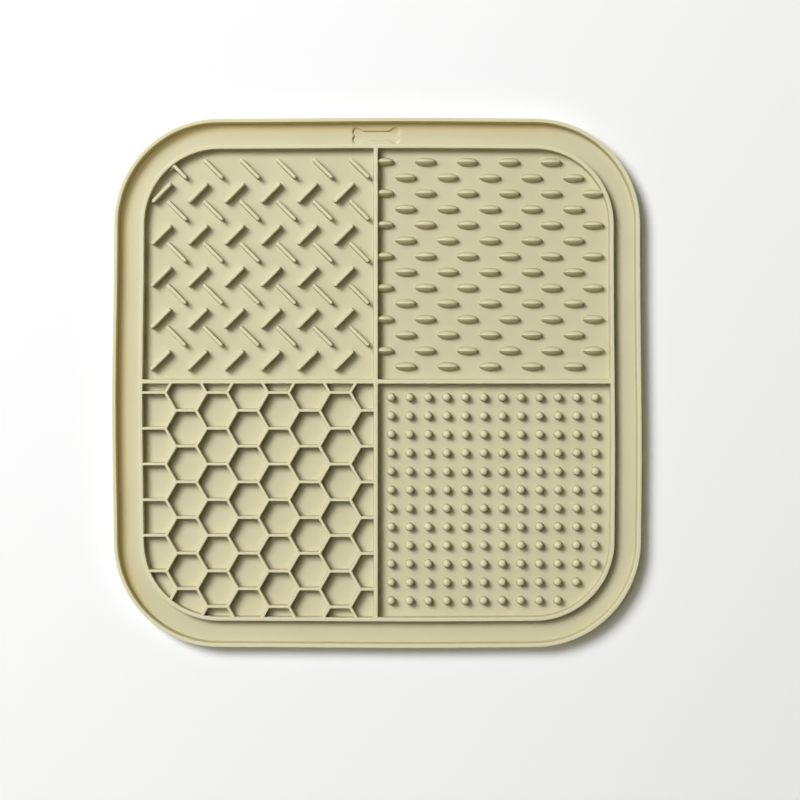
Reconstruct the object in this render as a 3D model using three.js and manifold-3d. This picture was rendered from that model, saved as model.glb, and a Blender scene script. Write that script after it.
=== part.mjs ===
// Square silicone lick mat: a raised lip, a gutter, and an inner ring wall around four compartments,
// which hold herringbone ribs, rice-grain bumps, a honeycomb and rows of round pegs.
// Everything is one moulding. Millimetres, +Z up, origin at the middle of the flat underside.
// +X is to the right and +Y away from the viewer, with the ribs in the far left compartment.

import * as THREE from 'three';
import { mergeGeometries, mergeVertices } from 'three/addons/utils/BufferGeometryUtils.js';
import Module from 'manifold-3d';

const wasm = await Module();
wasm.setup();

// Overall size
const matWidth = 200;
const matLength = 200.8;
const cornerRadius = 40;
const cornerSteps = 7;

// Heights above the underside
const floorZ = 2.0;
const gutterZ = 2.5;
const wallZ = 6.0;
const lipZ = 6.6;
const overcut = 1;
const rootDepth = 0.8;

// Lip and ring wall, as distances inwards from the outline, measured along their tops
const lipInner = 1.4;
const ringOuter = 10.0;
const ringInner = 11.4;
const wallDraft = 0.3;

// Cross walls between the compartments
const crossWidth = 1.5;
const crossX = -0.35;
const crossY = 0.5;

// Honeycomb in the near left compartment
const cellPitchX = 11.66;
const cellPitchY = 13.56;
const cellWall = 1.1;
const cellDraft = 0.2;
const cellFirst = { x: -72.2, y: -17.23 };
const cellColumns = { from: -1, to: 6 };
const cellRows = { from: -1, to: 6 };

// Ribs in the far left compartment: two families of bars that lean opposite ways
const ribLength = 10.8;
const ribWidth = 1.8;
const ribDraft = 0.3;
const ribCornerShare = 0.6;
const ribHeight = 3.8;
const ribPitchX = 13.9;
const ribPitchY = 15.93;
const ribColumns = 6;
const ribRows = 5;
const ribFamilies = [
  { firstX: -76.0, firstY: 81.5, angle: -45 },
  { firstX: -82.0, firstY: 72.3, angle: 45 },
];

// Rice-grain bumps in the far right compartment: every other row is shifted and starts further right
const grainLength = 8.1;
const grainWidth = 3.0;
const grainHeight = 3.4;
const grainSides = 8;
const grainPitchX = 15.98;
const grainPitchY = 5.987;
const grainRows = 14;
const grainFirstY = 84.0;
const grainRowKinds = [
  { firstX: 2.5, count: 6 },
  { firstX: 11.05, count: 5 },
];

// Round pegs in the near right compartment, with the ones in the rounded corner missing
const pegDiameter = 3.3;
const pegHeight = 3.6;
const pegSides = 7;
const pegPitch = 7.03;
const pegCount = 12;
const pegFirst = { x: 5.43, y: -5.39 };
const pegCornerSkip = 21;

// Bone-shaped recess in the far side of the gutter
const boneLength = 18.2;
const boneHeight = 6.5;
const boneKnobRadius = 1.8;
const boneShaftHeight = 3.7;
const boneDepth = 0.7;
const boneY = 94.0;
const boneX = -0.3;
const boneSteps = 8;

// Points nearer to each other than this are one point
const weldDistance = 1e-4;

// Bumps are turned shapes: share of the radius and of the height at the foot, shoulder and crown
const bumpProfile = [
  { radius: 1.0, height: 0.0 },
  { radius: 0.74, height: 0.8 },
  { radius: 0.0, height: 1.0 },
];

// A rounded rectangle around the origin
function roundedRectangle(width, length, radius) {
  const shape = new THREE.Shape();
  const x = width / 2 - radius;
  const y = length / 2 - radius;
  shape.absarc(x, y, radius, 0, Math.PI / 2);
  shape.absarc(-x, y, radius, Math.PI / 2, Math.PI);
  shape.absarc(-x, -y, radius, Math.PI, 1.5 * Math.PI);
  shape.absarc(x, -y, radius, 1.5 * Math.PI, 2 * Math.PI);
  return shape;
}

// The mat's outline drawn in by a distance
function outlineInset(inset) {
  return roundedRectangle(matWidth - 2 * inset, matLength - 2 * inset, cornerRadius - inset);
}

// A shape carried up through levels, each with its own z and its own scale about the origin
function loft(shape, levels) {
  const steps = levels.length - 1;
  const options = { depth: steps, steps, bevelEnabled: false, curveSegments: cornerSteps };
  const geometry = new THREE.ExtrudeGeometry(shape, options);
  const position = geometry.getAttribute('position');
  for (let i = 0; i < position.count; i++) {
    const { z, scaleX = 1, scaleY = 1 } = levels[Math.round(position.getZ(i))];
    position.setXYZ(i, position.getX(i) * scaleX, position.getY(i) * scaleY, z);
  }
  return geometry;
}

// A closed geometry as a solid that can be joined and cut
function toSolid(geometry) {
  geometry.deleteAttribute('normal');
  geometry.deleteAttribute('uv');
  const merged = mergeVertices(geometry, weldDistance);
  const index = merged.getIndex().array;
  const triangles = [];
  for (let i = 0; i < index.length; i += 3) {
    const [a, b, c] = index.slice(i, i + 3);
    if (a !== b && b !== c && c !== a) {
      triangles.push(a, b, c);
    }
  }
  const vertProperties = new Float32Array(merged.getAttribute('position').array);
  const triVerts = new Uint32Array(triangles);
  return new wasm.Manifold(new wasm.Mesh({ numProp: 3, vertProperties, triVerts }));
}

// The solid back as a geometry for a mesh
function toGeometry(solid) {
  const mesh = solid.getMesh();
  const geometry = new THREE.BufferGeometry();
  geometry.setAttribute('position', new THREE.Float32BufferAttribute(mesh.vertProperties, 3));
  geometry.setIndex(new THREE.Uint32BufferAttribute(mesh.triVerts, 1));
  geometry.computeVertexNormals();
  return geometry;
}

// A well to be cut: a shape given at its top, narrowing by its draft down to its bottom.
// The sides go on above the top at the same slope.
function well(shape, width, length, draft, topZ, bottomZ) {
  const flare = (draft * overcut) / (topZ - bottomZ);
  return loft(shape, [
    { z: bottomZ, scaleX: 1 - (2 * draft) / width, scaleY: 1 - (2 * draft) / length },
    { z: topZ + overcut, scaleX: 1 + (2 * flare) / width, scaleY: 1 + (2 * flare) / length },
  ]);
}

// A raised piece: a shape given at its foot, with a straight root below the floor and a drawn-in top
function raised(shape, width, length, draft, topZ) {
  return loft(shape, [
    { z: floorZ - rootDepth },
    { z: floorZ },
    { z: topZ, scaleX: 1 - (2 * draft) / width, scaleY: 1 - (2 * draft) / length },
  ]);
}

// Base slab with its lip: the full block, with everything inside the lip cut down to the gutter
function tray() {
  const block = toSolid(loft(outlineInset(0), [{ z: 0 }, { z: lipZ }]));
  const width = matWidth - 2 * lipInner;
  const length = matLength - 2 * lipInner;
  const inside = well(outlineInset(lipInner), width, length, wallDraft, lipZ, gutterZ);
  return block.subtract(toSolid(inside));
}

// The block that the compartments are cut into, wider at its foot than at its top
function island() {
  const foot = ringOuter - wallDraft;
  return toSolid(raised(outlineInset(foot), matWidth - 2 * foot, matLength - 2 * foot, wallDraft, wallZ));
}

// The outline of one compartment as a quarter of the ring wall's inside, grown by a margin.
// signX and signY say on which side of the cross walls it lies. It is drawn around its own middle,
// as for the compartment with both signs positive, and placed() turns it over for the others.
function compartmentRoom(signX, signY, margin) {
  const nearX = crossWidth / 2 + signX * crossX - margin;
  const nearY = crossWidth / 2 + signY * crossY - margin;
  const farX = matWidth / 2 - ringInner + margin;
  const farY = matLength / 2 - ringInner + margin;
  const radius = cornerRadius - ringInner + margin;
  const halfX = (farX - nearX) / 2;
  const halfY = (farY - nearY) / 2;
  const shape = new THREE.Shape();
  shape.moveTo(-halfX, -halfY);
  shape.lineTo(halfX, -halfY);
  shape.absarc(halfX - radius, halfY - radius, radius, 0, Math.PI / 2);
  shape.lineTo(-halfX, halfY);
  const placed = (geometry) => {
    const solid = toSolid(geometry.translate(nearX + halfX, nearY + halfY, 0));
    return solid.scale([signX, signY, 1]);
  };
  return { shape, width: 2 * halfX, length: 2 * halfY, placed };
}

// The space of one compartment, to be cut out of the island
function compartment(signX, signY) {
  const { shape, width, length, placed } = compartmentRoom(signX, signY, 0);
  return placed(well(shape, width, length, wallDraft, wallZ, floorZ));
}

// A pattern trimmed where it runs into the walls of its compartment, half way through them
function trimmed(pattern, signX, signY) {
  const { shape, placed } = compartmentRoom(signX, signY, crossWidth / 2);
  return pattern.intersect(placed(loft(shape, [{ z: 0 }, { z: wallZ }])));
}

// All honeycomb cells, trimmed to their compartment, so that the cell walls are what is left between
function honeycomb() {
  const cornerX = cellPitchX / 3;
  const halfX = 2 * cornerX;
  const halfY = cellPitchY / 2;
  const shrink = 1 - cellWall / cellPitchY;
  const outline = [
    [halfX, 0],
    [cornerX, halfY],
    [-cornerX, halfY],
    [-halfX, 0],
    [-cornerX, -halfY],
    [cornerX, -halfY],
  ];
  const shape = new THREE.Shape(outline.map(([x, y]) => new THREE.Vector2(x * shrink, y * shrink)));
  const cells = [];
  for (let column = cellColumns.from; column <= cellColumns.to; column++) {
    for (let row = cellRows.from; row <= cellRows.to; row++) {
      const shift = column % 2 === 0 ? 0 : cellPitchY / 2;
      const cell = well(shape, 2 * halfX * shrink, 2 * halfY * shrink, cellDraft, wallZ, floorZ);
      cell.translate(cellFirst.x + column * cellPitchX, cellFirst.y + shift - row * cellPitchY, 0);
      cells.push(cell);
    }
  }
  return toSolid(mergeGeometries(cells)).intersect(compartment(-1, -1));
}

// A bar with pointed-round ends, lying along X, with its foot sunk into the floor
function rib() {
  const halfLength = ribLength / 2;
  const halfWidth = ribWidth / 2;
  const cut = halfWidth * ribCornerShare;
  const outline = [
    [halfLength - cut, -halfWidth],
    [halfLength, -halfWidth + cut],
    [halfLength, halfWidth - cut],
    [halfLength - cut, halfWidth],
    [-halfLength + cut, halfWidth],
    [-halfLength, halfWidth - cut],
    [-halfLength, -halfWidth + cut],
    [-halfLength + cut, -halfWidth],
  ];
  const shape = new THREE.Shape(outline.map(([x, y]) => new THREE.Vector2(x, y)));
  return raised(shape, ribLength, ribWidth, ribDraft, floorZ + ribHeight);
}

function ribs() {
  const all = [];
  for (const family of ribFamilies) {
    for (let row = 0; row < ribRows; row++) {
      for (let column = 0; column < ribColumns; column++) {
        const bar = rib().rotateZ(THREE.MathUtils.degToRad(family.angle));
        bar.translate(family.firstX + column * ribPitchX, family.firstY - row * ribPitchY, 0);
        all.push(bar);
      }
    }
  }
  return toSolid(mergeGeometries(all));
}

// A turned bump: foot, shoulder and crown, stretched to its length and width
function bump(length, width, height, sides) {
  const points = [new THREE.Vector2(0, -rootDepth), new THREE.Vector2(0.5, -rootDepth)];
  for (const ring of bumpProfile) {
    points.push(new THREE.Vector2(ring.radius / 2, ring.height * height));
  }
  const geometry = new THREE.LatheGeometry(points, sides);
  geometry.rotateX(Math.PI / 2);
  geometry.scale(length, width, 1);
  return geometry.translate(0, 0, floorZ);
}

function grains() {
  const all = [];
  for (let row = 0; row < grainRows; row++) {
    const kind = grainRowKinds[row % 2];
    for (let column = 0; column < kind.count; column++) {
      const last = row === 0 && column === kind.count - 1;
      if (!last) {
        const grain = bump(grainLength, grainWidth, grainHeight, grainSides);
        grain.translate(kind.firstX + column * grainPitchX, grainFirstY - row * grainPitchY, 0);
        all.push(grain);
      }
    }
  }
  return toSolid(mergeGeometries(all));
}

function pegs() {
  const all = [];
  for (let row = 0; row < pegCount; row++) {
    for (let column = 0; column < pegCount; column++) {
      if (row + column < pegCornerSkip) {
        const peg = bump(pegDiameter, pegDiameter, pegHeight, pegSides);
        peg.translate(pegFirst.x + column * pegPitch, pegFirst.y - row * pegPitch, 0);
        all.push(peg);
      }
    }
  }
  return toSolid(mergeGeometries(all));
}

// Bone-shaped recess: four round knobs and a straight shaft, all to the same depth
function boneRecess() {
  const knobX = boneLength / 2 - boneKnobRadius;
  const knobY = boneHeight / 2 - boneKnobRadius;
  const bottomZ = gutterZ - boneDepth;
  const topZ = gutterZ + overcut;
  let bone = toSolid(new THREE.BoxGeometry(2 * knobX, boneShaftHeight, topZ - bottomZ)
    .translate(0, 0, (topZ + bottomZ) / 2));
  for (const sideX of [-1, 1]) {
    for (const sideY of [-1, 1]) {
      const knob = new THREE.CylinderGeometry(boneKnobRadius, boneKnobRadius, topZ - bottomZ, boneSteps);
      knob.rotateX(Math.PI / 2);
      knob.translate(sideX * knobX, sideY * knobY, (topZ + bottomZ) / 2);
      bone = bone.add(toSolid(knob));
    }
  }
  return bone.translate([boneX, boneY, 0]);
}

const mat = tray()
  .add(island())
  .subtract(compartment(-1, 1))
  .subtract(compartment(1, 1))
  .subtract(compartment(1, -1))
  .subtract(honeycomb())
  .subtract(boneRecess())
  .add(trimmed(ribs(), -1, 1))
  .add(trimmed(grains(), 1, 1))
  .add(pegs());

const silicone = new THREE.MeshStandardMaterial({ color: 0xc9c19a, roughness: 0.6, metalness: 0 });
const matMesh = new THREE.Mesh(toGeometry(mat), silicone);
matMesh.name = 'mat';

const part = new THREE.Group();
part.add(matMesh);

export default part;
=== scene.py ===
import bpy
import numpy as np
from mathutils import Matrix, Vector
from mathutils.geometry import delaunay_2d_cdt


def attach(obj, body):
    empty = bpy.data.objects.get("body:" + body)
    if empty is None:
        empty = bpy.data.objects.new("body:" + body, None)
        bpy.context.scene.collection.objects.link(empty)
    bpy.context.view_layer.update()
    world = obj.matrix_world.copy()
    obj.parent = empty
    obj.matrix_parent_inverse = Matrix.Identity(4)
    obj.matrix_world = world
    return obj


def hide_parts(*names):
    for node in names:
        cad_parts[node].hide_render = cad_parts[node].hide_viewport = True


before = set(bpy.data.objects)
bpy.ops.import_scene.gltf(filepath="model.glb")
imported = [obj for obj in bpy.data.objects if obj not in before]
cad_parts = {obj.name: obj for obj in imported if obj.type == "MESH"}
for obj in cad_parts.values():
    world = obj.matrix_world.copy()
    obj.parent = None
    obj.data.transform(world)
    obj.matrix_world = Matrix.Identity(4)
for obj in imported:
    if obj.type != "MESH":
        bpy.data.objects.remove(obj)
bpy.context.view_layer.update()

# Base, lip and gutter. The mat is one moulding of soft khaki silicone, 200 mm across, and everything on
# it is part of that moulding. Its rim stands up as a thin lip around a gutter that catches what spills.
mat_width = 200.0
mat_length = 200.8
corner_radius = 40.0
floor_z = 2.0
gutter_step = 0.5
lip_inner = 1.4
lip_side = {"height": 4.1, "draft": 0.25, "top_round": 0.18, "foot_round": 0.5}
lip_edge_steps = 4
lip_foot_steps = 5
gutter_rings = [3.2, 4.2, 5.4, 7.0]
outline_arc_steps = 28
outline_side_steps = 24
guard = 0.15
rings = []

# Sizes up to the moulding itself are in millimetres. Heights of walls and bumps are above the floor of
# the compartments, which lies at floor_z, and the gutter's floor lies gutter_step higher.


def rise(distance, height, draft, top_round, foot_round):
    """Height of a moulded side at a distance outwards from its top edge.

    Level at the full height, then an arc over the edge, a straight side that leans out by the
    draft, and an arc that runs out along the floor.
    """
    lean = np.arctan2(draft, height)
    tangent = np.tan((np.pi / 2 - lean) / 2)
    top_centre = -top_round * tangent
    foot_centre = draft + foot_round * tangent
    over_top = np.clip(distance - top_centre, 0, top_round * np.cos(lean))
    before_foot = np.clip(foot_centre - distance, 0, foot_round * np.cos(lean))
    top = height - top_round + np.sqrt(top_round ** 2 - over_top ** 2)
    foot = foot_round - np.sqrt(foot_round ** 2 - before_foot ** 2)
    side = height * (1 - distance / draft)
    on_top = distance <= top_centre + top_round * np.cos(lean)
    on_foot = distance >= foot_centre - foot_round * np.cos(lean)
    return np.where(on_top, top, np.where(on_foot, foot, side))


def levels(height, draft, top_round, foot_round, top_steps=3, foot_steps=4):
    """Distances at which a moulded side gets its rings of vertices.

    Even turns along both arcs, and one more ring just past the foot, so that the floor stays level.
    """
    lean = np.arctan2(draft, height)
    tangent = np.tan((np.pi / 2 - lean) / 2)
    over_top = np.sin(np.linspace(0, np.pi / 2 - lean, top_steps + 1))
    to_foot = np.sin(np.linspace(np.pi / 2 - lean, 0, foot_steps + 1))
    foot_centre = draft + foot_round * tangent
    return np.concatenate([
        top_round * (over_top - tangent),
        foot_centre - foot_round * to_foot,
        [foot_centre + guard],
    ])


def inside_outline(x, y):
    """Distance inwards from the outline, a rounded rectangle.

    Along the sides it is the way to the nearer side, and in a corner the corner's radius less the
    way to its centre.
    """
    past_x = np.abs(x) - (mat_width / 2 - corner_radius)
    past_y = np.abs(y) - (mat_length / 2 - corner_radius)
    corner = np.hypot(np.maximum(past_x, 0), np.maximum(past_y, 0))
    return corner_radius - corner - np.minimum(np.maximum(past_x, past_y), 0)


def spine_rays(corners, arc, arc_steps, side_steps):
    """Rays that fan out around a polygon of corner points, as their starts and their directions.

    At each corner the direction turns by its arc in even steps, and along each side the start moves
    on while the direction stays.
    """
    corners = np.asarray(corners, float)
    count = len(corners)
    following = np.roll(corners, -1, axis=0)
    turn = np.linspace(0, 1, arc_steps + 1)
    along = np.arange(1, side_steps) / side_steps
    angles, starts = [], []
    for i in range(count):
        angles.append(arc * (i + turn))
        angles.append(np.full(side_steps - 1, arc * (i + 1)))
        starts.append(np.repeat(corners[i:i + 1], arc_steps + 1, axis=0))
        starts.append(corners[i] + along[:, None] * (following[i] - corners[i]))
    angles = np.concatenate(angles)
    return np.concatenate(starts), np.stack([np.cos(angles), np.sin(angles)], axis=1)


def add_ring(points, keep=None, closed=True):
    """Adds one ring of vertices and the edges between neighbours, without the points not kept."""
    rings.append((points, keep, closed))


edge_x = mat_width / 2 - corner_radius
edge_y = mat_length / 2 - corner_radius
outline_corners = [(edge_x, edge_y), (-edge_x, edge_y), (-edge_x, -edge_y), (edge_x, -edge_y)]
outline_start, outline_way = spine_rays(outline_corners, np.pi / 2, outline_arc_steps, outline_side_steps)


def outline_ring(inset):
    """The outline drawn in by a distance: each corner's arc keeps its centre and loses that radius."""
    return outline_start + (corner_radius - inset) * outline_way


lip_edge_turn = np.sin(np.linspace(np.pi / 2, 0, lip_edge_steps + 1))
for inset in lip_side["top_round"] * (1 - lip_edge_turn):
    add_ring(outline_ring(inset))
for distance in levels(**lip_side, foot_steps=lip_foot_steps):
    add_ring(outline_ring(lip_inner + distance))
for inset in gutter_rings:
    add_ring(outline_ring(inset))


def lip_height(x, y):
    """The lip: its outer edge is a quarter arc, its inner side a moulded side down to the gutter."""
    inset = inside_outline(x, y)
    round_part = np.clip(lip_side["top_round"] - inset, 0, lip_side["top_round"])
    drop = lip_side["top_round"] - np.sqrt(lip_side["top_round"] ** 2 - round_part ** 2)
    return rise(inset - lip_inner, **lip_side) - drop


# Ring wall and cross walls. Inside the gutter a ring wall and two crossing walls stand up from the
# base and part it into four compartments. They lean slightly, as moulded walls must, and meet the
# floor in a small hollow curve.
ring_outer = 10.0
ring_inner = 11.4
cross_width = 1.5
cross_x = -0.35
cross_y = 0.5
compartment_corner = 0.45
wall_side = {"height": 4.0, "draft": 0.2, "top_round": 0.12, "foot_round": 0.25}
outer_side = {"height": 3.5, "draft": 0.2, "top_round": 0.12, "foot_round": 0.25}
ray_turn = np.radians(12)
ray_spacing = 5.0
tested_rays = 2880
halvings = 30


def meet(a, b, soft):
    """The lesser of two distances, rounded off by the square of their likeness where they meet."""
    return np.minimum(a, b) - np.maximum(soft - np.abs(a - b), 0) ** 2 / (4 * soft)


def inside_compartment(x, y, side_x, side_y):
    """Distance inwards from the edge of one compartment: from two cross walls and from the ring."""
    across = side_x * (x - cross_x) - cross_width / 2
    along = side_y * (y - cross_y) - cross_width / 2
    ring = inside_outline(x, y) - ring_inner
    return meet(meet(across, along, compartment_corner), ring, compartment_corner)


def ring_at(level, start, way, reach, inside):
    """The points where rays reach a level of a distance that falls outwards, found by halving."""
    near = np.zeros(len(way))
    far = np.full(len(way), reach)
    for _ in range(halvings):
        middle = (near + far) / 2
        point = start + middle[:, None] * way
        beyond = inside(point[:, 0], point[:, 1]) < level
        far = np.where(beyond, middle, far)
        near = np.where(beyond, near, middle)
    return start + near[:, None] * way


def even_rays(start, reach, inside, spacing, turn):
    """Directions of rays from one point that meet an edge at even shares of its length and turning."""
    angle = np.linspace(0, 2 * np.pi, tested_rays, endpoint=False)
    way = np.stack([np.cos(angle), np.sin(angle)], axis=1)
    point = ring_at(0.0, start, way, reach, inside)
    step = np.roll(point, -1, axis=0) - point
    heading = np.arctan2(step[:, 1], step[:, 0])
    bend = np.roll(heading, -1) - heading
    bend = np.abs((bend + np.pi) % (2 * np.pi) - np.pi)
    share = np.cumsum(np.hypot(step[:, 0], step[:, 1]) / spacing + bend / turn)
    count = int(np.ceil(share[-1]))
    chosen = np.interp((np.arange(count) + 0.5) * share[-1] / count, share, angle)
    return np.stack([np.cos(chosen), np.sin(chosen)], axis=1)


def wall_height(x, y):
    """The ring wall's outer side above the gutter."""
    return rise(ring_outer - inside_outline(x, y), **outer_side)


for distance in levels(**outer_side):
    add_ring(outline_ring(ring_outer - distance))

for side_x, side_y in [(-1, 1), (1, 1), (1, -1)]:
    middle = np.array([side_x, side_y]) * (mat_width - 2 * ring_inner) / 4

    def edge(x, y, side_x=side_x, side_y=side_y):
        """Distance inwards from the edge of this compartment."""
        return inside_compartment(x, y, side_x, side_y)

    way = even_rays(middle, mat_width / 2, edge, ray_spacing, ray_turn)
    for distance in levels(**wall_side):
        add_ring(ring_at(distance, middle, way, mat_width / 2, edge))

# Honeycomb in the near left compartment. Six-sided cells are sunk between thin walls as high as the
# cross walls. The cells at the edge are cut off by the ring wall and the cross walls.
cell_pitch_x = 11.66
cell_pitch_y = 13.56
cell_wall = 1.0
cell_corner = 0.15
cell_first_x = -72.2
cell_first_y = -17.23
cell_first_column = -1
cell_columns = range(cell_first_column, 7)
cell_rows = range(-7, 3)
cell_least_depth = 0.3
cell_clear = 0.05
cell_side = {"height": 4.0, "draft": 0.15, "top_round": 0.18, "foot_round": 0.25}
cell_spacing = 4.0
cell_turn = np.radians(24)
cell_tries = 61

cell_tip = 2 * cell_pitch_x / 3
slant_length = np.hypot(cell_tip / 2, cell_pitch_y / 2)
slant_x = cell_pitch_y / 2 / slant_length
slant_y = cell_tip / 2 / slant_length
cell_share = 1 - cell_wall / cell_pitch_y
slant_reach = cell_tip * slant_x * cell_share
level_reach = cell_pitch_y / 2 * cell_share


def inside_cell(x, y, centre_x, centre_y):
    """Distance inwards from the edge of one cell.

    The least of the ways to its slanted and level sides and to the walls of the compartment. In the
    first column the level sides run on to the ring wall.
    """
    first = np.isclose(centre_x, cell_first_x + cell_first_column * cell_pitch_x)
    slide = slant_reach - slant_x * np.where(first, x - centre_x, np.abs(x - centre_x))
    tilt = slant_y * (y - centre_y)
    slanted = meet(slide - tilt, slide + tilt, cell_corner)
    hexagon = meet(slanted, level_reach - np.abs(y - centre_y), cell_corner)
    return meet(hexagon, inside_compartment(x, y, -1, -1), cell_corner)


def inside_any_cell(x, y):
    """The same for the nearest cell. Every other column of cells is shifted by half a cell."""
    column = np.floor((x - cell_first_x) / cell_pitch_x)
    best = np.full(np.shape(x), -np.inf)
    for near in (np.maximum(column, cell_first_column), column + 1):
        shift = cell_first_y + (near % 2) * cell_pitch_y / 2
        row = np.round((y - shift) / cell_pitch_y)
        centre_x = cell_first_x + near * cell_pitch_x
        best = np.maximum(best, inside_cell(x, y, centre_x, shift + row * cell_pitch_y))
    return best


# The rings of a cell go round its deepest point, which is looked for on a square grid of points
cell_try = np.linspace(-1, 1, cell_tries) * cell_tip
try_x, try_y = np.meshgrid(cell_try, cell_try)
for column in cell_columns:
    for row in cell_rows:
        centre_x = cell_first_x + column * cell_pitch_x
        centre_y = cell_first_y + (column % 2) * cell_pitch_y / 2 + row * cell_pitch_y

        def edge(x, y, centre_x=centre_x, centre_y=centre_y):
            """Distance inwards from the edge of this cell."""
            return inside_cell(x, y, centre_x, centre_y)

        grid_x = try_x.ravel() + centre_x
        grid_y = try_y.ravel() + centre_y
        depth = edge(grid_x, grid_y)
        deepest = np.argmax(depth)
        if depth[deepest] > cell_least_depth:
            middle = np.array([grid_x[deepest], grid_y[deepest]])
            way = even_rays(middle, 2 * cell_tip, edge, cell_spacing, cell_turn)
            for distance in levels(**cell_side):
                if distance < depth[deepest] - cell_clear:
                    add_ring(ring_at(distance, middle, way, 2 * cell_tip, edge))


def island_height(x, y):
    """Gutter floor and walled block, less the compartments and cells that are sunk into it."""
    block = gutter_step + wall_height(x, y)
    for side_x, side_y in [(-1, 1), (1, 1), (1, -1)]:
        block = np.minimum(block, rise(inside_compartment(x, y, side_x, side_y), **wall_side))
    near_left = (x < cross_x) & (y < cross_y)
    cells = rise(inside_any_cell(x, y), **cell_side)
    return np.where(near_left, np.minimum(block, cells), block)


# Ribs in the far left compartment. Short bars with round ends stand in two families that lean opposite
# ways, as on chequer plate. The corner of the ring wall swallows some of them in part or whole.
rib_half = 4.45
rib_top_half = 0.57
rib_side = {"height": 3.8, "draft": 0.25, "top_round": 0.16, "foot_round": 0.2}
rib_pitch_x = 13.9
rib_pitch_y = 15.93
rib_columns = 6
rib_rows = 5
rib_families = [
    {"first_x": -76.09, "first_y": 81.45, "lean": -1},
    {"first_x": -82.0, "first_y": 72.3, "lean": 1},
]
rib_arc_steps = 7
rib_side_steps = 3
wall_keep = -0.5


def rib_height(x, y):
    """Height of the ribs: a moulded side around a short line, the nearest one of each family."""
    highest = np.zeros(np.shape(x))
    for family in rib_families:
        column = np.clip(np.round((x - family["first_x"]) / rib_pitch_x), 0, rib_columns - 1)
        row = np.clip(np.round((family["first_y"] - y) / rib_pitch_y), 0, rib_rows - 1)
        dx = x - family["first_x"] - column * rib_pitch_x
        dy = y - family["first_y"] + row * rib_pitch_y
        along = (dx + family["lean"] * dy) / np.sqrt(2)
        across = (dy - family["lean"] * dx) / np.sqrt(2)
        past_end = np.maximum(np.abs(along) - rib_half, 0)
        highest = np.maximum(highest, rise(np.hypot(past_end, across) - rib_top_half, **rib_side))
    return np.where(inside_compartment(x, y, -1, 1) > wall_keep, highest, 0)


# Turned back by a quarter, the fans of rays go round the two ends of a bar and not along its sides
quarter_back = np.array([[0, -1], [1, 0]])
rib_start, rib_way = spine_rays([(rib_half, 0), (-rib_half, 0)], np.pi, rib_arc_steps, rib_side_steps)
rib_way = rib_way @ quarter_back
for family in rib_families:
    turn = np.array([[1, family["lean"]], [-family["lean"], 1]]) / np.sqrt(2)
    for column in range(rib_columns):
        for row in range(rib_rows):
            middle_x = family["first_x"] + column * rib_pitch_x
            middle_y = family["first_y"] - row * rib_pitch_y
            for distance in levels(**rib_side):
                local = rib_start + (rib_top_half + distance) * rib_way
                point = np.array([middle_x, middle_y]) + local @ turn
                add_ring(point, inside_compartment(point[:, 0], point[:, 1], -1, 1) > wall_keep)

# Grains in the far right compartment. Bumps shaped like grains of rice, with a crest along the middle,
# lie in rows that are shifted in turn. The first one of every other row grows out of the cross wall.
grain_half = 3.98
grain_half_width = 1.72
grain_height = 3.4
grain_creases = {"upper": 0.22, "lower": 0.56}
grain_tapers = {"near left": 0.62, "elsewhere": 0.4}
grain_crest_power = 0.22
grain_flank = 4
grain_pitch_x = 15.98
grain_pitch_y = 5.987
grain_rows = 14
grain_first_y = 84.03
grain_row_kinds = [{"first_x": 2.37, "count": 6}, {"first_x": 10.92, "count": 5}]
grain_foot = 0.2
grain_steps = 16
grain_inner_rings = [0.08, 0.3, 0.55, 0.75, 0.87, 0.94, 1.0]
grain_outer_rings = [0.06, 0.14, 0.3]
grain_ring_reach = 0.86
grain_ring_growth = 0.13
grain_crest_points = 11
grain_crest_share = 0.8
grain_blunt = 1e-4
barely = 1e-9


def grain_taper(dx, dy):
    """How fast the grain narrows towards its end: its near left quarter is slimmer than the rest."""
    return np.where((dx < 0) & (dy < 0), grain_tapers["near left"], grain_tapers["elsewhere"])


def grain_shape(dx, dy):
    """Height of one grain at an offset from its middle.

    The outline's half width and the crest's height both shrink towards the ends. Across the grain
    the height falls evenly from the crest, more on the near side, and then steeply at the foot.
    """
    ends = np.maximum(1 - (dx / grain_half) ** 2, grain_blunt)
    across = np.abs(dy) / (grain_half_width * ends ** grain_taper(dx, dy))
    crest = grain_height * ends ** grain_crest_power
    crease = np.where(dy < 0, grain_creases["lower"], grain_creases["upper"])
    fall = crease * across + (1 - crease) * across ** grain_flank
    raw = np.where(np.abs(dx) < grain_half, crest * (1 - fall), -grain_foot)
    return -meet(-raw, 0, grain_foot)


def grain_row(row):
    """Place of the first grain in a row and how many it has. The farthest row has one less."""
    even, odd = grain_row_kinds
    first_x = np.where(row % 2 == 1, odd["first_x"], even["first_x"])
    count = np.where(row % 2 == 1, odd["count"], even["count"]) - (row == 0)
    return first_x, count


def grain_height_at(x, y):
    """Height of the grains, worked out from the nearest one in the nearest row."""
    row = np.clip(np.round((grain_first_y - y) / grain_pitch_y), 0, grain_rows - 1)
    first_x, count = grain_row(row)
    column = np.clip(np.round((x - first_x) / grain_pitch_x), 0, count - 1)
    grain = grain_shape(x - first_x - column * grain_pitch_x, y - grain_first_y + row * grain_pitch_y)
    return np.where(inside_compartment(x, y, 1, 1) > wall_keep, grain, 0)


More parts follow.
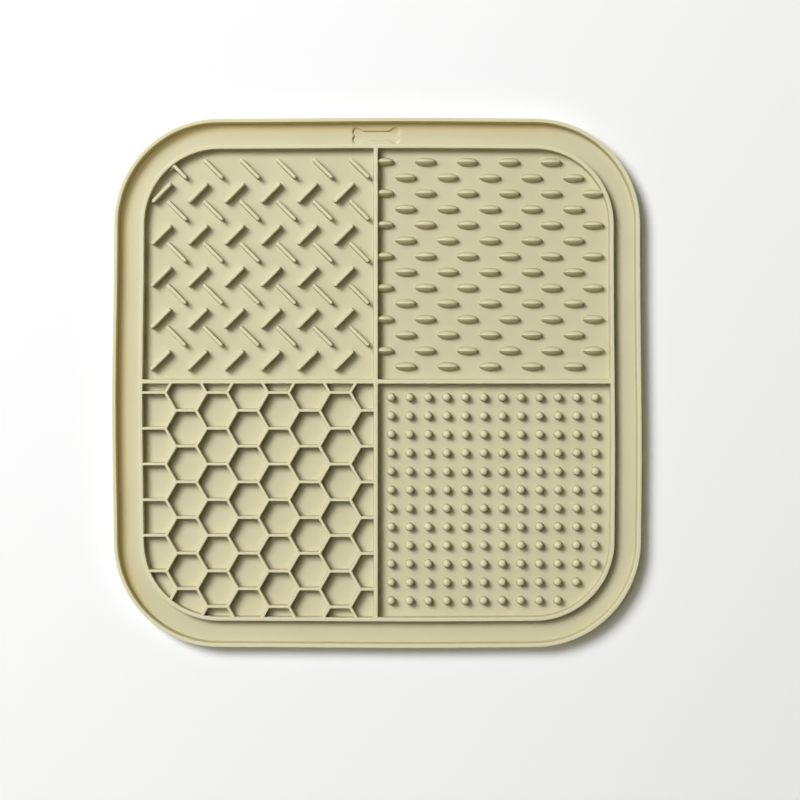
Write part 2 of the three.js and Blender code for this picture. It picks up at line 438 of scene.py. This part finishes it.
# One grain's rings as offsets: some inside its outline, some just outside it, and a line on its crest
grain_angle = np.arange(2 * grain_steps) * np.pi / grain_steps
grain_rings = []
for share in grain_inner_rings:
    dx = grain_half * np.cos(grain_angle) * (grain_ring_reach + grain_ring_growth * share)
    side = np.sign(np.where(np.abs(np.sin(grain_angle)) > barely, np.sin(grain_angle), 0))
    half = grain_half_width * (1 - (dx / grain_half) ** 2) ** grain_taper(dx, side)
    grain_rings.append((dx, share * half * side, True))
for out in grain_outer_rings:
    dx = (grain_half + out) * np.cos(grain_angle)
    side = np.sin(grain_angle) + barely
    dy = (grain_half_width + out) * side * np.abs(side) ** (2 * grain_taper(dx, side) - 1)
    grain_rings.append((dx, dy, True))
dx = np.linspace(-1, 1, grain_crest_points) * grain_half * grain_crest_share
grain_rings.append((dx, np.zeros(grain_crest_points), False))

for row in range(grain_rows):
    first_x, count = grain_row(row)
    for column in range(int(count)):
        for dx, dy, closed in grain_rings:
            x = first_x + column * grain_pitch_x + dx
            y = grain_first_y - row * grain_pitch_y + dy
            add_ring(np.column_stack([x, y]), inside_compartment(x, y, 1, 1) > wall_keep, closed)

# Pegs in the near right compartment. Round pegs with domed tops stand in twelve rows of twelve, less
# those that the rounded corner of the ring wall leaves no room for.
peg_top_radius = 1.4
peg_side = {"height": 3.5, "draft": 0.25, "top_round": 1.3, "foot_round": 0.2}
peg_pitch = 7.03
peg_count = 12
peg_first_x = 5.43
peg_first_y = -5.39
peg_corner_skip = 21
peg_steps = 16
peg_top_steps = 5


def peg_height(x, y):
    """Height of the pegs: a moulded side around the middle of the nearest one."""
    column = np.clip(np.round((x - peg_first_x) / peg_pitch), 0, peg_count - 1)
    row = np.clip(np.round((peg_first_y - y) / peg_pitch), 0, peg_count - 1)
    away = np.hypot(x - peg_first_x - column * peg_pitch, y - peg_first_y + row * peg_pitch)
    return np.where(row + column < peg_corner_skip, rise(away - peg_top_radius, **peg_side), 0)


peg_angle = np.arange(peg_steps) * 2 * np.pi / peg_steps
peg_way = np.stack([np.cos(peg_angle), np.sin(peg_angle)], axis=1)
for row in range(peg_count):
    for column in range(min(peg_count, peg_corner_skip - row)):
        middle = np.array([peg_first_x + column * peg_pitch, peg_first_y - row * peg_pitch])
        for distance in levels(**peg_side, top_steps=peg_top_steps):
            add_ring(middle + (peg_top_radius + distance) * peg_way)

# Bone recess. A plain bone shape is sunk by less than a millimetre into the far side of the gutter. It
# has a straight shaft and two round knobs at each end.
bone_x = -0.3
bone_y = 94.1
bone_knob_x = 7.3
bone_knob_y = 1.45
bone_knob_radius = 1.8
bone_shaft_half = 1.85
bone_soft = 1.4
bone_side = {"height": 0.85, "draft": 0.35, "top_round": 0.12, "foot_round": 0.2}
bone_arc_steps = 18
bone_side_steps = 24
bone_level_steps = 2
bone_reach = 6.0


def inside_bone(x, y):
    """Distance inwards from the bone's edge: the greatest of the ways into its knobs and its shaft."""
    dx = np.abs(x - bone_x)
    dy = np.abs(y - bone_y)
    knob = bone_knob_radius - np.hypot(dx - bone_knob_x, dy - bone_knob_y)
    shaft = np.minimum(bone_shaft_half - dy, bone_knob_x - dx)
    return -meet(-knob, -shaft, bone_soft)


bone_ends = [(bone_knob_x, 0), (-bone_knob_x, 0)]
bone_start, bone_way = spine_rays(bone_ends, np.pi, bone_arc_steps, bone_side_steps)
bone_start = bone_start + np.array([bone_x, bone_y])
bone_way = bone_way @ quarter_back
for distance in levels(**bone_side, top_steps=bone_level_steps, foot_steps=bone_level_steps):
    add_ring(ring_at(distance, bone_start, bone_way, bone_reach, inside_bone))

# The moulding itself. All rings are laid out flat and joined up with triangles, every vertex takes its
# height from the shapes above, and the outer side and the underside close it to one solid piece.
side_levels = [3.6, 2.2, 0.9]
bottom_round = 0.5
bottom_steps = 3
blend_power = 8.0
triangles_out = 0
same_point = 1e-5


def bump_height(x, y):
    """Height of the ribs, grains or pegs, whichever the compartment holds."""
    bumps = np.zeros(np.shape(x))
    for pattern, side_x, side_y in ((rib_height, -1, 1), (grain_height_at, 1, 1), (peg_height, 1, -1)):
        here = (side_x * (x - cross_x) > 0) & (side_y * (y - cross_y) > 0)
        bumps = np.where(here, pattern(x, y), bumps)
    return np.maximum(bumps, 0)


def surface_height(x, y):
    """Height above the underside.

    The walls and bumps are joined by a power mean that favours the higher, and the depth of the bone
    recess is taken off.
    """
    walls = np.maximum(lip_height(x, y), 0) + np.maximum(island_height(x, y), 0)
    joined = (walls ** blend_power + bump_height(x, y) ** blend_power) ** (1 / blend_power)
    dug = bone_side["height"] - rise(inside_bone(x, y), **bone_side)
    return floor_z + joined - dug


points, edges, offset = [], [], 0
for ring, keep, closed in rings:
    count = len(ring)
    first = np.arange(count)
    second = np.roll(first, -1)
    if keep is None:
        keep = np.ones(count, bool)
    linked = keep[first] & keep[second]
    if not closed:
        linked[-1] = False
    number = np.cumsum(keep) - 1 + offset
    points.append(ring[keep])
    edges.append(np.stack([number[first[linked]], number[second[linked]]], axis=1))
    offset += int(keep.sum())
points = [Vector(point) for point in np.concatenate(points).tolist()]
edges = np.concatenate(edges).tolist()
flat = delaunay_2d_cdt(points, edges, [], triangles_out, same_point, False)
plan = np.array([tuple(point) for point in flat[0]])
upper = np.array(flat[2])

sides = [
    {"side": "left", "out": 0.1, "drawn_in": 0.9, "middle": -8.0},
    {"side": "right", "out": 0.25, "drawn_in": 0.65, "middle": -25.0},
    {"side": "far", "out": -0.1, "drawn_in": 0.45, "middle": 10.0},
    {"side": "near", "out": -0.15, "drawn_in": 0.4, "middle": 12.0},
]
drawn_reach = 45.0


def settle(x, y):
    """Where the points of the soft mat lie: its sides draw in towards the corners.

    Each side moves out by its own amount, less what it is drawn in, which is 1 - exp(-t * t) at t
    reaches from the side's middle. Both fade with the square of the way from the mat's centre.
    """
    moved = {}
    for row in sides:
        along = y if row["side"] in ("left", "right") else x
        t = (along - row["middle"]) / drawn_reach
        moved[row["side"]] = row["out"] - row["drawn_in"] * (1 - np.exp(-t * t))
    across_x = np.where(x < 0, -moved["left"], moved["right"]) * (2 * x / mat_width) ** 2
    across_y = np.where(y < 0, -moved["near"], moved["far"]) * (2 * y / mat_length) ** 2
    return np.column_stack([x + across_x, y + across_y])


rim_count = len(outline_way)
vertices = [np.column_stack([plan, surface_height(plan[:, 0], plan[:, 1])])]
walls = []
lower_rings = [(0.0, z) for z in side_levels]
for turn in np.linspace(0, np.pi / 2, bottom_steps + 1):
    lower_rings.append((bottom_round * (1 - np.cos(turn)), bottom_round * (1 - np.sin(turn))))
lower_rings.append((bottom_round + guard, 0.0))
above = np.arange(rim_count)
total = len(plan)
for inset, z in lower_rings:
    ring = outline_ring(inset)
    vertices.append(np.column_stack([ring, np.full(rim_count, z)]))
    below = total + np.arange(rim_count)
    walls.append(np.column_stack([np.roll(above, -1), above, below, np.roll(below, -1)]))
    above = below
    total += rim_count
vertices = np.concatenate(vertices)
faces = upper.tolist() + np.concatenate(walls).tolist() + [above[::-1].tolist()]

# Marks for the material, from 0 to 1 at each vertex, worked out before the sides draw in. They place painted
# light and shade: a painted highlight on the crests, painted shade at the feet of the walls and bumps, and
# painted golden light with a faint emission behind the lip. Lengths are in millimetres. The lamp's share is
# fixed here, so the golden marks suit the lamp of this scene alone.
lamp_side_x = -0.82
lamp_side_y = 0.57
lamp_gain = 0.9
glow_peak = 0.4
glow_reach = 3.1
passed_peak = 1.3
passed_reach = 1.3
# Where the painted highlight on the crests and the painted shade at the feet begin, and how far they spread
bump_highlight_start = 2.24
bump_highlight_span = 1.4
wall_highlight_span = 0.09
foot_shade_start_span = 0.06
foot_shade_top = 3.0


def outward(x, y):
    """Direction out of the mat: how much less the inward distance is one millimetre on than one back."""
    slope_x = inside_outline(x - 1, y) - inside_outline(x + 1, y)
    slope_y = inside_outline(x, y - 1) - inside_outline(x, y + 1)
    return slope_x, slope_y


def behind_lip(inset, peak, reach):
    """A bell curve of the way inwards from the lip's inner edge, and nothing on the lip itself."""
    return np.exp(-((inset - lip_inner - peak) / reach) ** 2) * (inset > lip_inner)


inset = inside_outline(vertices[:, 0], vertices[:, 1])
slope_x, slope_y = outward(vertices[:, 0], vertices[:, 1])
towards_lamp = np.clip((lamp_side_y * slope_y + lamp_side_x * slope_x) * lamp_gain, 0, 1)
above_floor = vertices[:, 2] - floor_z
on_bump = bump_height(vertices[:, 0], vertices[:, 1]) > 0
wall_shoulder = wall_side["height"] - wall_side["top_round"]
# Painted highlight: the tops of the bumps and walls are made paler in colour
bump_highlight = np.clip((above_floor - bump_highlight_start) / bump_highlight_span, 0, 1)
wall_highlight = np.clip((above_floor - wall_shoulder) / wall_highlight_span, 0, 1)
# Painted shade: the colour darkens low on the walls and bumps, most just above their feet
above_own_floor = above_floor - np.where(inset < ring_outer, gutter_step, 0)
foot_shade_start = np.clip(above_own_floor / foot_shade_start_span, 0, 1)
# The crest mark is a painted highlight, the glow and passed marks are painted light behind the lip, and the
# foot mark is painted shade
marks = {
    "crest": np.where(on_bump, bump_highlight, wall_highlight),
    "glow": towards_lamp * behind_lip(inset, glow_peak, glow_reach),
    "passed": towards_lamp * behind_lip(inset, passed_peak, passed_reach),
    "foot": foot_shade_start * np.clip(1 - above_own_floor / foot_shade_top, 0, 1),
}
vertices[:, :2] = settle(vertices[:, 0], vertices[:, 1])
metres = vertices / 1000

mesh = bpy.data.meshes.new("moulding")
mesh.from_pydata(metres.tolist(), [], faces)
mesh.update()
mesh.shade_smooth()
for name, values in marks.items():
    mesh.attributes.new(name, "FLOAT", "POINT").data.foreach_set("value", values)
moulding = bpy.data.objects.new("moulding", mesh)
bpy.context.collection.objects.link(moulding)


def linear(hexadecimal):
    """An sRGB colour as linear light, by the curve of the sRGB standard."""
    part = np.array([int(hexadecimal[i:i + 2], 16) for i in (0, 2, 4)]) / 255
    light = np.where(part <= 0.04045, part / 12.92, ((part + 0.055) / 1.055) ** 2.4)
    return (*light.tolist(), 1.0)


def node(tree, kind, settings=(), links=()):
    """Adds one node, sets its attributes and its inputs, and links its inputs to outputs.

    An input goes by its name, or by its number where several share a name.
    """
    new = tree.nodes.new(kind)
    for name, value in dict(settings).items():
        if isinstance(name, int) or name in new.inputs:
            new.inputs[name].default_value = value
        else:
            setattr(new, name, value)
    for name, source in dict(links).items():
        tree.links.new(source, new.inputs[name])
    return new


# Silicone rubber as it leaves a mould with a fine matt skin: opaque, with broad weak highlights and no
# hard reflections. Its colour clouds by a hair over about 22 mm, and its skin has a grit of about 0.4 mm.
# A painted highlight makes the crests paler, and painted shade makes the feet of the walls and bumps darker.
# Behind the lip, on the lamp's side, a painted golden tint and a faint emission stand for light that comes
# through the thin lip.
# From here on sizes are in metres.
clouds_per_metre = 45.0
grit_per_metre = 2500.0
grit_depth = 0.0002
grit_strength = 0.08
passed_strength = 0.1

silicone = bpy.data.materials.new("khaki moulded silicone")
silicone.use_nodes = True
tree = silicone.node_tree
tree.nodes.clear()
mark = {name: node(tree, "ShaderNodeAttribute", {"attribute_name": name}).outputs["Fac"] for name in marks}
place = node(tree, "ShaderNodeTexCoord").outputs["Object"]
cloud = node(tree, "ShaderNodeTexNoise", {"Scale": clouds_per_metre, "Detail": 3.0}, {"Vector": place})
tone = node(tree, "ShaderNodeValToRGB", links={"Fac": cloud.outputs["Fac"]})
for stop, position, colour in zip(tone.color_ramp.elements, (0.3, 0.7), ("c7c2a2", "cbc6a7")):
    stop.position = position
    stop.color = linear(colour)
grit = node(tree, "ShaderNodeTexNoise", {"Scale": grit_per_metre, "Detail": 2.0}, {"Vector": place})
skin = node(tree, "ShaderNodeBump", {"Strength": grit_strength, "Distance": grit_depth},
            {"Height": grit.outputs["Fac"]})
# Painted highlight: on the crests the colour is mixed towards a paler khaki
painted_highlight = node(tree, "ShaderNodeMix", {"data_type": "RGBA", 7: linear("d5d0b0")},
               {0: mark["crest"], 6: tone.outputs["Color"]})
# Painted light: behind the lip, on the lamp's side, the colour turns golden
painted_glow = node(tree, "ShaderNodeMix", {"data_type": "RGBA", 7: linear("c8b984")},
              {0: mark["glow"], 6: painted_highlight.outputs[2]})
# Painted shade: at the feet of the walls and bumps the colour is multiplied by a greyer khaki
painted_foot_shade = node(tree, "ShaderNodeMix", {"data_type": "RGBA", "blend_type": "MULTIPLY", 7: linear("dedac8")},
              {0: mark["foot"], 6: painted_glow.outputs[2]})
# Painted light: a faint emission brightens the lip's shadow in the gutter, though no lamp is there
through_lip = node(tree, "ShaderNodeMath", {"operation": "MULTIPLY", 1: passed_strength}, {0: mark["passed"]})
shader = node(tree, "ShaderNodeBsdfPrincipled",
              {"Roughness": 0.55, "IOR": 1.41, "Emission Color": linear("ffe39c")},
              {"Base Color": painted_foot_shade.outputs[2], "Normal": skin.outputs["Normal"],
               "Emission Strength": through_lip.outputs[0]})
node(tree, "ShaderNodeOutputMaterial", links={"Surface": shader.outputs["BSDF"]})
mesh.materials.append(silicone)
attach(moulding, "root")
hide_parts("mat")

# Floor. A plain table of white painted board, much larger than the mat, which lies flat on it. It is
# made as a level grid of faces.
table_half = 3.0
table_steps = 12
clouds_on_table = 3.0

grid = np.linspace(-table_half, table_half, table_steps + 1)
table_x, table_y = np.meshgrid(grid, grid)
table_points = np.column_stack([table_x.ravel(), table_y.ravel(), np.zeros(table_x.size)])
one_row = table_steps + 1
corner = (np.arange(table_steps)[:, None] * one_row + np.arange(table_steps)[None, :]).ravel()
table_faces = np.column_stack([corner, corner + 1, corner + one_row + 1, corner + one_row])
table_mesh = bpy.data.meshes.new("table")
table_mesh.from_pydata(table_points.tolist(), [], table_faces.tolist())
table = bpy.data.objects.new("table", table_mesh)
bpy.context.collection.objects.link(table)

# Matt white paint: it scatters light evenly, so the mat's shadow lies on it with no reflection
board = bpy.data.materials.new("white painted board")
board.use_nodes = True
tree = board.node_tree
tree.nodes.clear()
place = node(tree, "ShaderNodeTexCoord").outputs["Object"]
cloud = node(tree, "ShaderNodeTexNoise", {"Scale": clouds_on_table}, {"Vector": place})
tone = node(tree, "ShaderNodeValToRGB", links={"Fac": cloud.outputs["Fac"]})
for stop, colour in zip(tone.color_ramp.elements, ("f3f4f9", "f6f7fb")):
    stop.color = linear(colour)
shader = node(tree, "ShaderNodeBsdfPrincipled", {"Roughness": 0.8}, {"Base Color": tone.outputs["Color"]})
node(tree, "ShaderNodeOutputMaterial", links={"Surface": shader.outputs["BSDF"]})
table_mesh.materials.append(board)

# Light. A soft lamp high up on the far left gives the shadows, and a larger one beside it softens them.
# The walls of the room give a pale warm band of light above the horizon, which is weakest on the side of
# the lamps and strongest on the side away from them.
lamps = [
    {"name": "key", "azimuth": 141.5, "elevation": 49.0, "distance": 2.2, "size": 1.0, "energy": 43.3},
    {"name": "softbox", "azimuth": 155.0, "elevation": 62.0, "distance": 2.2, "size": 1.9, "energy": 17.0},
]
away_from_lamps = (0.78, -0.62, 0.0)
room_strength = {"least": 0.378, "most": 1.08}

for row in lamps:
    turn, climb = np.radians(row["azimuth"]), np.radians(row["elevation"])
    way = Vector((np.cos(turn) * np.cos(climb), np.sin(turn) * np.cos(climb), np.sin(climb)))
    lamp = bpy.data.lights.new(row["name"], "AREA")
    lamp.shape = "DISK"
    lamp.size = row["size"]
    lamp.energy = row["energy"]
    lamp_object = bpy.data.objects.new(row["name"], lamp)
    lamp_object.location = way * row["distance"]
    lamp_object.rotation_euler = way.to_track_quat("Z", "Y").to_euler()
    bpy.context.collection.objects.link(lamp_object)

room = bpy.data.worlds.new("room")
room.use_nodes = True
tree = room.node_tree
tree.nodes.clear()
direction = node(tree, "ShaderNodeTexCoord").outputs["Generated"]
parts = node(tree, "ShaderNodeSeparateXYZ", links={"Vector": direction})
band = node(tree, "ShaderNodeValToRGB", links={"Fac": parts.outputs["Z"]})
for stop, position, colour in zip(band.color_ramp.elements, (0.05, 0.45), ("fff4a8", "433f27")):
    stop.position = position
    stop.color = linear(colour)
away = node(tree, "ShaderNodeVectorMath", {"operation": "DOT_PRODUCT", 1: away_from_lamps}, {0: direction})
strength = node(tree, "ShaderNodeMapRange",
                {"From Min": -1.0, "To Min": room_strength["least"], "To Max": room_strength["most"]},
                {"Value": away.outputs["Value"]})
light = node(tree, "ShaderNodeBackground",
             links={"Color": band.outputs["Color"], "Strength": strength.outputs["Result"]})
node(tree, "ShaderNodeOutputWorld", links={"Surface": light.outputs["Background"]})
bpy.context.scene.world = room
bpy.context.scene.view_settings.view_transform = "Standard"

# Camera. It hangs straight above the mat and a little to its right and near side, as in the photograph.
# The frame's width is measured at pattern_z, the height of the walls and bumps.
camera_x = 0.00883
camera_y = -0.00648
camera_distance = 0.8
frame_width = 0.303
pattern_z = 0.005
lens = bpy.data.cameras.new("camera")
lens.sensor_width = 36.0
lens.lens = lens.sensor_width * camera_distance / frame_width
camera = bpy.data.objects.new("camera", lens)
camera.location = (camera_x, camera_y, camera_distance + pattern_z)
bpy.context.collection.objects.link(camera)
bpy.context.scene.camera = camera

bpy.context.view_layer.update()
